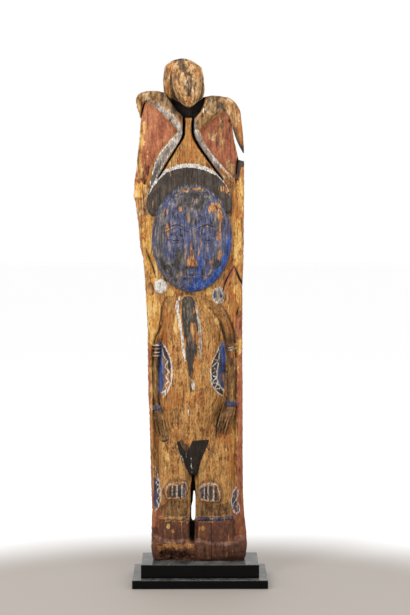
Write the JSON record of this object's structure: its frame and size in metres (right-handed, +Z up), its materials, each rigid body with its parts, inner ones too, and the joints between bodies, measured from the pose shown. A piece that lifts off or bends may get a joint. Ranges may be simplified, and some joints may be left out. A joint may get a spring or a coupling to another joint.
{
  "type": "ancestor figure",
  "caption": "Tall ancestor figure carved and painted in one plank of wood, with a blue oval face, folded wings and raised side rails, standing on a two-step black stand",
  "frame": {"origin": "middle of the stand's underside", "axes": "+Z up along the figure, -Y out of its carved front, +X to the viewer's right"},
  "size_m": [0.6, 0.32, 2.3322],
  "materials": {
    "carved_wood": "old adzed wood with worn earth paints in red, white, black and blue",
    "black_lacquer": "smooth glossy black lacquer"
  },
  "bodies": {
    "root": {"carved_figure": "carved_wood", "stand_upper_slab": "black_lacquer", "stand_lower_slab": "black_lacquer"}
  },
  "joints": []
}
